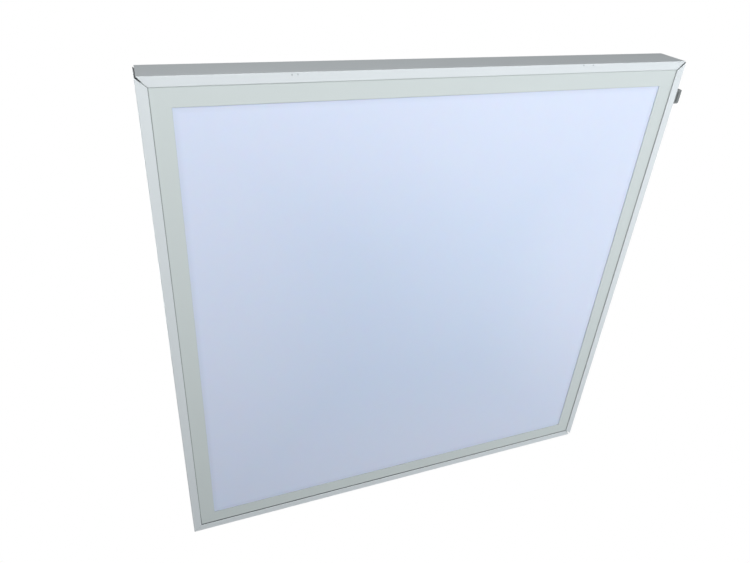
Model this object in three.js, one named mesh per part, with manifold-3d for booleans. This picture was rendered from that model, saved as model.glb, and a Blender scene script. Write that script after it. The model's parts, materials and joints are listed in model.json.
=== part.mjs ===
// Square LED panel light in a surface-mount box frame.
//
// Millimetres, +Z up. The light hangs upright: its glowing face looks along -Y and its mounting
// surface is the plane y = 0, with the origin at the middle of that plane. Depths through the
// light are counted from the front of the frame's lip, and "inward" is the distance from the
// outer face of the frame, or of the panel, towards its middle.

import * as THREE from 'three';
import { mergeVertices } from 'three/addons/utils/BufferGeometryUtils.js';
import Module from 'manifold-3d';

const wasm = await Module();
wasm.setup();

// ---------------------------------------------------------------- driving dimensions

const GAP = 0.3; // between pieces that touch
const FIT = 0.15; // round a piece that sits in a hole
const OVERCUT = 1; // how far a cutting tool reaches past the face it cuts
const WELD = 0.2; // how far two joined solids of one piece reach into each other

const FRAME = {
  size: 605, depth: 40, lip: 9.7, lipThick: 1.0, wall: 1.4, flange: 18, flangeThick: 1.5, edge: 0.5,
};
const HALF = FRAME.size / 2;

// Clearance of each mitred end, measured along the side at the outer corner and at the lip's inner
// edge. The frame's hand-cut mitres gape, and the bezel's are tight.
const FRAME_MITRE = {
  topLeft: { outer: 1.3, inner: 0.2 },
  topRight: { outer: 1.5, inner: 1.0 },
  bottomRight: { outer: 1.7, inner: 1.1 },
  bottomLeft: { outer: 0.03, inner: 0.03 },
};
const BEZEL_MITRE = { outer: 0.01, inner: 0.01 };

// Panel edge rib and corner key channel on the inner side of the frame's wall.
const RIB = { reach: 9, from: 12.6, to: 13.8 };
const CHANNEL = { from: 26, floor: 1.2, slot: 3.2, returnThick: 1.2, returnDepth: 2.3 };

const PANEL = {
  size: 595, front: 1.25, wall: 1.2, face: 23.4, faceThick: 0.75, back: 12.2, edge: 0.5, innerEdge: 0.3,
};
const PANEL_HALF = PANEL.size / 2;
const LEDGE = { reach: 11, from: 9.4, to: 10.6 };

// Flat layers of the panel: half of the side, then front and back depth.
const DIFFUSER = { half: PANEL_HALF - 3.6, from: 2.15, to: 5.1 };
const LIGHT_GUIDE = { half: PANEL_HALF - 4.0, from: 5.3, to: 8.3 };
const REFLECTOR = { half: PANEL_HALF - 4.0, from: 8.45, to: 8.7 };
const FOAM = { half: 233, from: 8.9, to: 11.8 };
const BACK = { half: PANEL_HALF - 1.6, from: 10.8, thick: 0.6, fieldHalf: 240, slope: 5, rise: 1.2 };
const BACK_FACE = BACK.from + BACK.thick;
const BACK_FIELD_FACE = BACK_FACE + BACK.rise;

const LED = { count: 44, pitch: 12, size: 2.8, proud: 1.0 };
const LED_STRIP = { half: 264, from: 3.6, to: 9.1, thick: 1.0, offWall: 0.2 };
const LINK_WIRE = { radius: 0.6, sides: 8, depth: 7.7, inward: 2.6 };

const KEY = { arm: 40, thick: 2.6, inset: 1.7, from: 27.5, to: 38.2, screwAt: 27 };
const BEZEL_KEY = { arm: 30, thick: 1.9, inset: 1.4, from: 3.4, to: 6.4 };
const GRUB = { radius: 2.0, length: 4.8, socket: 1.1, socketDeep: 2 };

const FIXING = { radius: 2.6, inward: 11.5, at: 200 };
const BACK_SCREW = {
  inward: 8.5, at: 190, shank: 1.2, head: 2.7, headThick: 1.5, length: 3.8,
  recess: { deep: 0.7, halfWide: 0.35, halfLong: 1.5 },
};

// Two bowed leaf springs behind the closing side's lip, each held by two punched stakes.
const SPRING = { half: 26, bow: 2.6, thick: 0.4, from: 3.2, to: 11.2, steps: 12 };
const SPRINGS = {
  left: { middle: -163.3, stakeSpacing: 5.4, stakeBelow: 2.3 },
  right: { middle: 164.4, stakeSpacing: 12.6, stakeBelow: 1.6 },
};
const STAKE = { radius: 0.9, depth: 0.35 };

const CLAMP = { top: 268.5, height: 16.5, proud: 8.5, from: 1.5, to: 13, travel: 8, corner: 2.2 };
const CLAMP_MIDDLE = CLAMP.top - CLAMP.height / 2;
const CLAMP_STEM = { height: 8.5, from: 4.3, to: 9.7, tip: HALF - FRAME.wall - 2.4 };
const CLAMP_SHOE = { height: 22, thick: 2.9, from: 3, to: 11.5 };
const CLAMP_RIDGE = { radius: 0.9, inset: 2 };

// The driver's box: its walls, a floor against the panel, and a divider between the terminals' bay
// on the left and the board's bay on the right.
const DRIVER = {
  left: -120, right: 40, low: 177, high: 223, front: 13.8, back: 33.8, wall: 1.8, floor: 1.6, lid: 1.6,
  divider: -88,
};
const DRIVER_PAD = { inset: 6, off: 0.2 };
const COVER_SKIRT = { deep: 2.5, wall: 1.2 };
const COVER_RIBS = { count: 5, first: 40, pitch: 12, wide: 3, deep: 0.7, inset: 8 };
const BOSS = { radius: 2, fromEnds: 10, fromSides: 8, tall: 1.8 };
const HINGE = {
  z: DRIVER.high + 1.8, depth: 33.6, barrel: 1.8, pin: 0.9, lug: 3, lugDeep: 7, bore: 1.0, endPlay: 0.2,
};
const FINGER_LIP = { inset: 10, reach: 2.5 };
const FINGER_GROOVES = { count: 3, inset: 11, first: 3, pitch: 2.4, wide: 1, deep: 0.5 };

const BOARD = { inset: 4, front: DRIVER.front + DRIVER.floor + BOSS.tall + GAP, thick: 1.6 };
const BOARD_TOP = BOARD.front + BOARD.thick + 0.2;
const TRANSFORMER = {
  x: -24, z: 200, tall: 11, coreHalf: [10, 4], baseHalf: [8, 11], baseTall: 2,
  winding: 5.2, windingHalf: 9, cheekHalf: 7, cheekThick: 1.5, cheekBelow: 0.5,
};
const CAPACITORS = {
  input: { from: DRIVER.divider + 10, to: DRIVER.divider + 34, z: 210, radius: 5 },
  output: { from: DRIVER.right - 32, to: DRIVER.right - 12, z: 192, radius: 4 },
};
const CRIMP = { deep: 0.4, from: 2, to: 3.2 };
const TERMINALS = {
  left: -107, right: -92, halfTall: 12.5, deep: 13, pitch: 8,
  mouth: { radius: 1.9, deep: 7, depth: 5 },
  screw: { radius: 2.1, depth: 10.5 },
  slot: { halfWide: 0.6, depth: 11.5 },
};

// The low-voltage leads run along one height behind the panel.
const LEAD = { radius: 1.6, sides: 8, exitDepth: 24 };
const CABLE_ENTRY = 4;
const GROMMET = { x: 170, z: PANEL_HALF - 18, hole: 3.4, flange: 5.2, flangeThick: 1.0, below: 1.2 };
const CONNECTOR = { z: 200, depth: 17.9 };
const SOCKET = { x0: 76, x1: 108, radius: 5.0, mouth: 12 };
const PLUG = { x0: 98, x1: 134, barrel: 2.7, body: 4.6, shoulder: SOCKET.x1 + GAP };
const STRAIN_RELIEF = { tip: 2.6, root: 3.2 };

// ---------------------------------------------------------------- materials

function material(colour, roughness, metalness = 0) {
  return new THREE.MeshStandardMaterial({ color: colour, roughness, metalness });
}

const whitePowderCoat = () => material(0xe6eae9, 0.42, 0.1);
const bezelPaint = () => material(0xd9dfdc, 0.5, 0.1);
const opalPlastic = () => material(0xe0e6f5, 0.35);
const clearAcrylic = () => material(0xe8f1f4, 0.08);
const whiteFilm = () => material(0xf4f4f2, 0.7);
const foamPlastic = () => material(0xe9e9e4, 0.95);
const greyPlastic = () => material(0x7b7e7d, 0.5);
const whitePlastic = () => material(0xe9e9e6, 0.5);
const blackPlastic = () => material(0x1c1c1e, 0.55);
const zincSteel = () => material(0xb4b6b8, 0.35, 0.9);
const springSteel = () => material(0x8d9196, 0.3, 1.0);
const boardGreen = () => material(0x2d6a47, 0.6);
const boardWhite = () => material(0xf1f1ec, 0.45);

// ---------------------------------------------------------------- solids

function toManifold(geometry) {
  const bare = geometry.clone();
  bare.deleteAttribute('normal');
  bare.deleteAttribute('uv');
  const merged = mergeVertices(bare, 1e-4);
  const mesh = new wasm.Mesh({
    numProp: 3,
    vertProperties: new Float32Array(merged.attributes.position.array),
    triVerts: new Uint32Array(merged.index.array),
  });
  return new wasm.Manifold(mesh);
}

function toGeometry(solid) {
  const mesh = solid.getMesh();
  const geometry = new THREE.BufferGeometry();
  geometry.setAttribute('position', new THREE.BufferAttribute(mesh.vertProperties, mesh.numProp));
  geometry.setIndex(new THREE.BufferAttribute(mesh.triVerts, 1));
  geometry.computeVertexNormals();
  return geometry;
}

function join(first, ...others) {
  return toGeometry(others.reduce((sum, other) => sum.add(toManifold(other)), toManifold(first)));
}

function cut(base, ...tools) {
  return toGeometry(tools.reduce((rest, tool) => rest.subtract(toManifold(tool)), toManifold(base)));
}

function depthToY(depth) {
  return depth - FRAME.depth;
}

// A box from its limits: x and z as they are, and depth from the front of the lip.
function block([x0, x1], [front, back], [z0, z1]) {
  const geometry = new THREE.BoxGeometry(x1 - x0, back - front, z1 - z0);
  geometry.translate((x0 + x1) / 2, depthToY((front + back) / 2), (z0 + z1) / 2);
  return geometry;
}

function squareLayer({ half, from, to }) {
  return block([-half, half], [from, to], [-half, half]);
}

// A round rod between two depths, along Y.
function rodThrough(x, z, radius, front, back, sides = 20) {
  const geometry = new THREE.CylinderGeometry(radius, radius, back - front, sides);
  geometry.translate(x, depthToY((front + back) / 2), z);
  return geometry;
}

// A round rod along X.
function rodAcross(x0, x1, depth, z, radius, sides = 20) {
  const geometry = new THREE.CylinderGeometry(radius, radius, x1 - x0, sides);
  geometry.rotateZ(Math.PI / 2);
  geometry.translate((x0 + x1) / 2, depthToY(depth), z);
  return geometry;
}

// A round rod along Z.
function rodUp(x, depth, z0, z1, radius, sides = 20) {
  const geometry = new THREE.CylinderGeometry(radius, radius, z1 - z0, sides);
  geometry.rotateX(Math.PI / 2);
  geometry.translate(x, depthToY(depth), (z0 + z1) / 2);
  return geometry;
}

// A solid of revolution from (radius, distance) pairs. Its axis is X, along the connectors.
function turnedAlongX(profile, x0, depth, z, sides) {
  const geometry = new THREE.LatheGeometry(profile.map(([r, along]) => new THREE.Vector2(r, along)), sides);
  geometry.rotateZ(-Math.PI / 2);
  geometry.translate(x0, depthToY(depth), z);
  return geometry;
}

// An outline drawn in x and z, thickened between two depths.
function plateBetween(outline, from, to) {
  const settings = { depth: to - from, bevelEnabled: false, curveSegments: 5 };
  const geometry = new THREE.ExtrudeGeometry(outline, settings);
  geometry.rotateX(Math.PI / 2);
  geometry.translate(0, depthToY(to), 0);
  return geometry;
}

// A round tube through points given as (x, depth, z).
function tube(points, radius, sides, steps) {
  const path = points.map(([x, depth, z]) => new THREE.Vector3(x, depthToY(depth), z));
  const section = new THREE.Shape();
  section.absarc(0, 0, radius, 0, 2 * Math.PI);
  const extrudePath = new THREE.CatmullRomCurve3(path);
  return new THREE.ExtrudeGeometry(section, { extrudePath, steps, curveSegments: sides });
}

const TURNS = { top: 0, right: 1, bottom: 2, left: 3 };
const CORNER_TURNS = { top_right: 0, bottom_right: 1, bottom_left: 2, top_left: 3 };

// Turns a piece made for the top side so that it sits on another side of the square.
function turned(geometry, quarterTurns) {
  return geometry.rotateY((quarterTurns * Math.PI) / 2);
}

// How much an end with this mitre is cut back at a distance inward from the outer face.
function mitreOpening({ outer, inner }, inward, reach) {
  return inner + (outer - inner) * Math.max(0, 1 - inward / reach);
}

// Extrudes a section along one side of a square, with both ends cut to a mitre. The section is
// drawn as (inward, depth), and each mitre's inner clearance holds from "reach" inward. The side
// is made along the top and then turned to its place.
function mitredSide(section, half, startMitre, endMitre, reach, side) {
  const geometry = new THREE.ExtrudeGeometry(section, { depth: 1, bevelEnabled: false, curveSegments: 4 });
  const position = geometry.attributes.position;
  for (let i = 0; i < position.count; i += 1) {
    const inward = position.getX(i);
    const atEnd = position.getZ(i) > 0.5;
    const opening = mitreOpening(atEnd ? endMitre : startMitre, inward, reach);
    const along = half - inward - opening;
    position.setXYZ(i, atEnd ? along : -along, depthToY(position.getY(i)), half - inward);
  }
  return turned(geometry, TURNS[side]);
}

// ---------------------------------------------------------------- surface-mount frame

function frameSection() {
  const { lip, lipThick, wall, depth, flange, flangeThick, edge } = FRAME;
  const flangeFront = depth - flangeThick;
  const channelInner = wall + CHANNEL.slot;
  const channelOuter = channelInner + CHANNEL.returnThick;
  const channelFloor = CHANNEL.from + CHANNEL.floor;
  const section = new THREE.Shape();
  section.moveTo(0, depth);
  section.lineTo(0, edge);
  section.absarc(edge, edge, edge, Math.PI, 1.5 * Math.PI, false);
  section.lineTo(lip - edge, 0);
  section.absarc(lip - edge, edge, edge, 1.5 * Math.PI, 2 * Math.PI, false);
  section.lineTo(lip, lipThick);
  section.lineTo(wall, lipThick);
  section.lineTo(wall, RIB.from);
  section.lineTo(RIB.reach, RIB.from);
  section.lineTo(RIB.reach, RIB.to);
  section.lineTo(wall, RIB.to);
  section.lineTo(wall, CHANNEL.from);
  section.lineTo(channelOuter, CHANNEL.from);
  section.lineTo(channelOuter, channelFloor + CHANNEL.returnDepth);
  section.lineTo(channelInner, channelFloor + CHANNEL.returnDepth);
  section.lineTo(channelInner, channelFloor);
  section.lineTo(wall, channelFloor);
  section.lineTo(wall, flangeFront);
  section.lineTo(channelInner, flangeFront);
  section.lineTo(channelInner, flangeFront - CHANNEL.returnDepth);
  section.lineTo(channelOuter, flangeFront - CHANNEL.returnDepth);
  section.lineTo(channelOuter, flangeFront);
  section.lineTo(flange, flangeFront);
  section.lineTo(flange, depth);
  section.closePath();
  return section;
}

function frameSide(side, startMitre, endMitre) {
  return mitredSide(frameSection(), HALF, startMitre, endMitre, FRAME.lip, side);
}

// Holes in a rear flange for the screws into the wall or ceiling.
function fixingHoles(side) {
  const from = FRAME.depth - FRAME.flangeThick - OVERCUT;
  const to = FRAME.depth + OVERCUT;
  return [-FIXING.at, FIXING.at].map((x) => (
    turned(rodThrough(x, HALF - FIXING.inward, FIXING.radius, from, to), TURNS[side])
  ));
}

// The slot in the right wall that the clamp's stem slides in.
function clampSlot() {
  const stemHigh = CLAMP_MIDDLE + CLAMP_STEM.height / 2;
  const stemLow = CLAMP_MIDDLE - CLAMP_STEM.height / 2 - CLAMP.travel;
  return block(
    [HALF - FRAME.wall - OVERCUT, HALF + OVERCUT],
    [CLAMP_STEM.from - GAP, CLAMP_STEM.to + GAP],
    [stemLow - GAP, stemHigh + GAP],
  );
}

// Small punched dots on the lip, where the leaf springs are staked behind it.
function stakeMarks() {
  return Object.values(SPRINGS).flatMap(({ middle, stakeSpacing, stakeBelow }) => (
    [-stakeSpacing / 2, stakeSpacing / 2].map((offset) => (
      rodThrough(middle + offset, HALF - stakeBelow, STAKE.radius, -OVERCUT, STAKE.depth, 12)
    ))
  ));
}

function cornerKeyOutline(outer, arm, thick) {
  const inner = outer - thick;
  const outline = new THREE.Shape();
  outline.moveTo(outer, outer);
  outline.lineTo(outer - arm, outer);
  outline.lineTo(outer - arm, inner);
  outline.lineTo(inner, inner);
  outline.lineTo(inner, outer - arm);
  outline.lineTo(outer, outer - arm);
  outline.closePath();
  return outline;
}

// An L-shaped plate in the top right corner of a square with this half side.
function cornerKey({ arm, thick, inset, from, to }, half) {
  return plateBetween(cornerKeyOutline(half - inset, arm, thick), from, to);
}

// A rod on a grub screw's axis: it stands on the top wall and points inward.
function grubRod(radius, inwardFrom, inwardTo, sides) {
  const x = HALF - KEY.screwAt;
  return rodUp(x, (KEY.from + KEY.to) / 2, HALF - inwardTo, HALF - inwardFrom, radius, sides);
}

// Mirrors a piece on the top arm of a corner to the corner's side arm, by swapping x and z.
function onOtherArm(geometry) {
  const swap = new THREE.Matrix4().set(0, 0, 1, 0, 0, 1, 0, 0, 1, 0, 0, 0, 0, 0, 0, 1);
  const mirrored = geometry.clone().applyMatrix4(swap);
  const index = mirrored.index;
  for (let i = 0; i < index.count; i += 3) {
    const second = index.getX(i + 1);
    index.setX(i + 1, index.getX(i + 2));
    index.setX(i + 2, second);
  }
  return mirrored;
}

function grubScrew() {
  const tip = KEY.inset;
  const end = tip + GRUB.length;
  const hexagon = 6;
  return cut(
    grubRod(GRUB.radius, tip, end, 20),
    grubRod(GRUB.socket, end - GRUB.socketDeep, end + OVERCUT, hexagon),
  );
}

function frameCornerKey() {
  const hole = grubRod(GRUB.radius + FIT, 0, KEY.inset + KEY.thick + OVERCUT, 20);
  return cut(cornerKey(KEY, HALF), hole, onOtherArm(hole));
}

// A bowed strip between the closing side's wall and the panel's edge.
function retainingSpring(middle) {
  const { half, bow, thick, from, to, steps } = SPRING;
  const top = HALF - FRAME.wall - GAP;
  const point = (i, lower) => {
    const s = (2 * i) / steps - 1;
    const sag = bow * Math.cos((s * Math.PI) / 2) ** 2;
    return new THREE.Vector2(middle + s * half, top - lower - sag);
  };
  const stations = [...Array(steps + 1).keys()];
  const upper = stations.map((i) => point(i, 0));
  const under = stations.map((i) => point(i, thick)).reverse();
  return plateBetween(new THREE.Shape([...upper, ...under]), from, to);
}

// ---------------------------------------------------------------- side clamp

// The grip outside the wall, with a stem through the slot and a thumb ridge on its face.
function clampGrip() {
  const { top, height, proud, from, to, corner } = CLAMP;
  const inner = HALF + GAP;
  const outer = HALF + proud;
  const low = top - height;
  const outline = new THREE.Shape();
  outline.moveTo(inner, top);
  outline.lineTo(outer - corner / 2, top);
  outline.lineTo(outer, top - corner / 2);
  outline.lineTo(outer, low + corner);
  outline.absarc(outer - corner, low + corner, corner, 0, -Math.PI / 2, true);
  outline.lineTo(inner, low);
  outline.closePath();
  const stem = block(
    [CLAMP_STEM.tip, inner + OVERCUT],
    [CLAMP_STEM.from, CLAMP_STEM.to],
    [CLAMP_MIDDLE - CLAMP_STEM.height / 2, CLAMP_MIDDLE + CLAMP_STEM.height / 2],
  );
  const { radius, inset } = CLAMP_RIDGE;
  const ridge = rodUp((inner + outer) / 2, from, low + inset, top - inset, radius, 10);
  return join(plateBetween(outline, from, to), stem, ridge);
}

// The shoe between the wall and the panel's edge, with a pocket for the stem.
function clampShoe() {
  const outer = HALF - FRAME.wall - GAP;
  const body = block(
    [outer - CLAMP_SHOE.thick, outer],
    [CLAMP_SHOE.from, CLAMP_SHOE.to],
    [CLAMP_MIDDLE - CLAMP_SHOE.height / 2, CLAMP_MIDDLE + CLAMP_SHOE.height / 2],
  );
  const pocketHalf = CLAMP_STEM.height / 2 + FIT;
  const pocket = block(
    [CLAMP_STEM.tip - FIT, outer + OVERCUT],
    [CLAMP_STEM.from - FIT, CLAMP_STEM.to + FIT],
    [CLAMP_MIDDLE - pocketHalf, CLAMP_MIDDLE + pocketHalf],
  );
  return cut(body, pocket);
}

// ---------------------------------------------------------------- LED panel

function bezelSection() {
  const { front, back, wall, face, faceThick, edge, innerEdge } = PANEL;
  const faceBack = front + faceThick;
  const section = new THREE.Shape();
  section.moveTo(0, back);
  section.lineTo(0, front + edge);
  section.absarc(edge, front + edge, edge, Math.PI, 1.5 * Math.PI, false);
  section.lineTo(face - innerEdge, front);
  section.absarc(face - innerEdge, front + innerEdge, innerEdge, 1.5 * Math.PI, 2 * Math.PI, false);
  section.lineTo(face, faceBack);
  section.lineTo(wall, faceBack);
  section.lineTo(wall, LEDGE.from);
  section.lineTo(LEDGE.reach, LEDGE.from);
  section.lineTo(LEDGE.reach, LEDGE.to);
  section.lineTo(wall, LEDGE.to);
  section.lineTo(wall, back);
  section.closePath();
  return section;
}

// Where the two back plate screws of one side stand, before the side is turned.
const BACK_SCREW_PLACES = [-BACK_SCREW.at, BACK_SCREW.at].map((x) => [x, PANEL_HALF - BACK_SCREW.inward]);

function backScrewHole([x, z], side) {
  return turned(
    rodThrough(x, z, BACK_SCREW.shank + FIT, LEDGE.from - OVERCUT, PANEL.back + OVERCUT, 16),
    TURNS[side],
  );
}

function bezelSide(side) {
  const bar = mitredSide(bezelSection(), PANEL_HALF, BEZEL_MITRE, BEZEL_MITRE, PANEL.face, side);
  return cut(bar, ...BACK_SCREW_PLACES.map((place) => backScrewHole(place, side)));
}

// A pan head screw with a cross recess, through the back plate into the bezel's ledge.
function backScrew([x, z], side) {
  const { head, headThick, shank, length, recess } = BACK_SCREW;
  const headFront = BACK_FACE + 0.1;
  const headBack = headFront + headThick;
  const depths = [headBack - recess.deep, headBack + OVERCUT];
  const wide = [-recess.halfWide, recess.halfWide];
  const long = [-recess.halfLong, recess.halfLong];
  const slot = (across, up) => block(across.map((d) => x + d), depths, up.map((d) => z + d));
  const solid = join(
    rodThrough(x, z, head, headFront, headBack, 18),
    rodThrough(x, z, shank, headBack - length, headFront + WELD, 16),
  );
  return turned(cut(solid, slot(long, wide), slot(wide, long)), TURNS[side]);
}

// A pressed sheet: flat at its border, with a raised square field in the middle.
function backPlate() {
  const { half, from, thick, fieldHalf, slope, rise } = BACK;
  const frontProfile = [[0, from + rise], [fieldHalf - slope, from + rise], [fieldHalf, from], [half, from]];
  const backProfile = frontProfile.map(([reach, depth]) => [reach, depth + thick]).reverse();
  const points = [...frontProfile, ...backProfile].map(([reach, depth]) => (
    new THREE.Vector2(reach * Math.SQRT2, depthToY(depth))
  ));
  const sheet = new THREE.LatheGeometry(points, 4, Math.PI / 4);
  const screwHoles = Object.keys(TURNS).flatMap((side) => (
    BACK_SCREW_PLACES.map((place) => backScrewHole(place, side))
  ));
  const leadHole = rodThrough(GROMMET.x, GROMMET.z, GROMMET.hole, from - OVERCUT, BACK_FACE + OVERCUT);
  return cut(sheet, leadHole, ...screwHoles);
}

// A narrow aluminium-backed board that stands on the bezel's wall, with a row of LEDs.
function ledStrip(side) {
  const { half, from, to, thick, offWall } = LED_STRIP;
  const high = PANEL_HALF - PANEL.wall - offWall;
  const low = high - thick;
  const middle = (LIGHT_GUIDE.from + LIGHT_GUIDE.to) / 2;
  const leds = [...Array(LED.count).keys()].map((i) => {
    const x = (i - (LED.count - 1) / 2) * LED.pitch;
    const reach = LED.size / 2;
    return block([x - reach, x + reach], [middle - reach, middle + reach], [low - LED.proud, low + WELD]);
  });
  return turned(join(block([-half, half], [from, to], [low, high]), ...leds), TURNS[side]);
}

// The wire that carries current from one strip to the other, inside the top bezel.
function stripLinkWire() {
  const { radius, sides, depth, inward } = LINK_WIRE;
  const lane = PANEL_HALF - inward;
  const run = rodAcross(-lane - radius, lane + radius, depth, lane, radius, sides);
  const drops = [-lane, lane].map((x) => rodUp(x, depth, LED_STRIP.half + 1, lane, radius, sides));
  return join(run, ...drops);
}

// A rubber ring in the back plate, with a flange and a short collar on the outside.
function grommet() {
  const { x, z, hole, flange, flangeThick, below } = GROMMET;
  const bore = LEAD.radius + 0.2;
  const neck = hole - 0.2;
  const flangeFront = BACK_FACE + 0.2;
  const flangeBack = flangeFront + flangeThick;
  const profile = [
    [bore, BACK.from - below], [neck, BACK.from - below], [neck, flangeFront],
    [flange, flangeFront], [flange, flangeBack], [neck, flangeBack + 1], [bore, flangeBack + 1],
  ];
  const closed = [...profile, profile[0]];
  const outline = closed.map(([radius, depth]) => new THREE.Vector2(radius, depthToY(depth)));
  const ring = new THREE.LatheGeometry(outline, 20);
  ring.translate(x, 0, z);
  return ring;
}

// ---------------------------------------------------------------- driver

function driverPad() {
  const { left, right, low, high, front } = DRIVER;
  const { inset, off } = DRIVER_PAD;
  const depths = [BACK_FIELD_FACE + off, front - off];
  return block([left + inset, right - inset], depths, [low + inset, high - inset]);
}

// The middle of each hinge lug of the case, at the two ends of the terminals' cover.
const LUG_PLACES = [DRIVER.left + HINGE.lug / 2, DRIVER.divider - HINGE.lug / 2];

function hingeLug(x) {
  const width = [x - HINGE.lug / 2, x + HINGE.lug / 2];
  const root = block(
    width,
    [HINGE.depth - HINGE.lugDeep, HINGE.depth],
    [DRIVER.high - WELD, HINGE.z + HINGE.barrel * 0.6],
  );
  return join(root, rodAcross(...width, HINGE.depth, HINGE.z, HINGE.barrel));
}

// An open box with two bays, bosses under the board, and lugs for the terminals' cover.
function driverCase() {
  const { left, right, low, high, front, back, wall, floor, lid, divider } = DRIVER;
  const rim = back - lid - GAP;
  const inside = [[front + floor, back + OVERCUT], [low + wall, high - wall]];
  const shell = cut(
    block([left, right], [front, rim], [low, high]),
    block([left + wall, divider], ...inside),
    block([divider + wall, right - wall], ...inside),
    rodAcross(left - OVERCUT, left + wall + OVERCUT, LEAD.exitDepth, CONNECTOR.z, CABLE_ENTRY),
    rodAcross(right - wall - OVERCUT, right + OVERCUT, LEAD.exitDepth, CONNECTOR.z, LEAD.radius + GAP),
  );
  const bossTop = front + floor + BOSS.tall;
  const bosses = [divider + BOSS.fromEnds, right - BOSS.fromEnds].flatMap((x) => (
    [low + BOSS.fromSides, high - BOSS.fromSides].map((z) => (
      rodThrough(x, z, BOSS.radius, front + floor - WELD, bossTop, 10)
    ))
  ));
  const bore = rodAcross(left - OVERCUT, divider + OVERCUT, HINGE.depth, HINGE.z, HINGE.bore);
  return cut(join(shell, ...bosses, ...LUG_PLACES.map(hingeLug)), bore);
}

// The fixed lid over the board's bay, with a skirt inside the walls and grooves on its face.
function driverCover() {
  const { right, low, high, back, lid, divider, wall } = DRIVER;
  const lidFront = back - lid;
  const skirtOuter = wall + GAP;
  const skirtInner = skirtOuter + COVER_SKIRT.wall;
  const skirt = cut(
    block(
      [divider + skirtOuter, right - skirtOuter],
      [lidFront - COVER_SKIRT.deep, lidFront + WELD],
      [low + skirtOuter, high - skirtOuter],
    ),
    block(
      [divider + skirtInner, right - skirtInner],
      [lidFront - COVER_SKIRT.deep - OVERCUT, lidFront],
      [low + skirtInner, high - skirtInner],
    ),
  );
  const plate = block([divider + GAP, right], [lidFront, back], [low, high]);
  const grooves = [...Array(COVER_RIBS.count).keys()].map((i) => {
    const x = divider + COVER_RIBS.first + i * COVER_RIBS.pitch;
    return block(
      [x, x + COVER_RIBS.wide],
      [back - COVER_RIBS.deep, back + OVERCUT],
      [low + COVER_RIBS.inset, high - COVER_RIBS.inset],
    );
  });
  return cut(join(plate, skirt), ...grooves);
}

function driverBoard() {
  const { right, low, high, divider } = DRIVER;
  const { inset, front, thick } = BOARD;
  return block([divider + inset, right - inset], [front, front + thick], [low + inset, high - inset]);
}

// A ferrite core that wraps a wound bobbin.
function transformer() {
  const { x, z, tall, coreHalf, baseHalf, baseTall, winding, windingHalf } = TRANSFORMER;
  const { cheekHalf, cheekThick, cheekBelow } = TRANSFORMER;
  const top = BOARD_TOP + tall;
  const around = ([halfX, halfZ], deep) => (
    block([x - halfX, x + halfX], [BOARD_TOP, deep], [z - halfZ, z + halfZ])
  );
  const cheeks = [z - windingHalf - cheekThick, z + windingHalf].map((low) => (
    block([x - cheekHalf, x + cheekHalf], [BOARD_TOP, top - cheekBelow], [low, low + cheekThick])
  ));
  return join(
    around(coreHalf, top),
    rodUp(x, BOARD_TOP + tall / 2, z - windingHalf, z + windingHalf, winding, 16),
    around(baseHalf, BOARD_TOP + baseTall),
    ...cheeks,
  );
}

// An electrolytic capacitor lying on the board, with a crimped groove near its lead end.
function capacitor({ from, to, z, radius }) {
  const { deep } = CRIMP;
  const waist = radius - deep;
  const long = to - from;
  const profile = [
    [0, 0], [waist, 0], [radius, deep], [radius, CRIMP.from], [waist, CRIMP.from + deep],
    [waist, CRIMP.to - deep], [radius, CRIMP.to], [radius, long - deep], [waist, long], [0, long],
  ];
  return turnedAlongX(profile, from, BOARD_TOP + radius, z, 16);
}

// A three-way block: wire mouths face the cable entry, clamp screws face the rear.
function terminalBlock() {
  const { left, right, halfTall, deep, pitch, mouth, screw, slot } = TERMINALS;
  const front = DRIVER.front + DRIVER.floor + 0.2;
  const past = front + deep + OVERCUT;
  const body = block([left, right], [front, front + deep], [CONNECTOR.z - halfTall, CONNECTOR.z + halfTall]);
  const ways = [-pitch, 0, pitch].map((offset) => CONNECTOR.z + offset);
  const mouths = ways.map((z) => (
    rodAcross(left - OVERCUT, left + mouth.deep, front + mouth.depth, z, mouth.radius, 12)
  ));
  const screws = ways.map((z) => (
    rodThrough((left + right) / 2, z, screw.radius, front + screw.depth, past, 14)
  ));
  const width = [left - OVERCUT, right + OVERCUT];
  const slots = [-pitch / 2, pitch / 2].map((offset) => CONNECTOR.z + offset).map((z) => (
    block(width, [front + slot.depth, past], [z - slot.halfWide, z + slot.halfWide])
  ));
  return cut(body, ...mouths, ...screws, ...slots);
}

// The hinged flap over the terminals' bay: a plate with a barrel along its top edge and a lip to
// lift it by at its low edge.
function terminalCover() {
  const { left, low, high, back, lid, divider } = DRIVER;
  const barrelSpan = [left + HINGE.lug + GAP, divider - HINGE.lug - GAP];
  const lidDepths = [back - lid, back];
  const lipSpan = [left + FINGER_LIP.inset, divider - FINGER_LIP.inset];
  const solid = join(
    rodAcross(...barrelSpan, HINGE.depth, HINGE.z, HINGE.barrel),
    block([left, divider - GAP], lidDepths, [low, high - 1]),
    block(barrelSpan, lidDepths, [high - 2, HINGE.z]),
    block(lipSpan, lidDepths, [low - FINGER_LIP.reach, low + 1]),
  );
  const { count, inset, first, pitch, wide, deep } = FINGER_GROOVES;
  const grooves = [...Array(count).keys()].map((i) => {
    const z = low + first + pitch * i;
    return block([left + inset, divider - inset], [back - deep, back + OVERCUT], [z, z + wide]);
  });
  const bore = rodAcross(barrelSpan[0] - OVERCUT, barrelSpan[1] + OVERCUT, HINGE.depth, HINGE.z, HINGE.bore);
  return cut(solid, bore, ...grooves);
}

function hingePin() {
  const { endPlay, depth, z, pin } = HINGE;
  return rodAcross(DRIVER.left + endPlay, DRIVER.divider - endPlay, depth, z, pin, 16);
}

// ---------------------------------------------------------------- low-voltage connection

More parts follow.
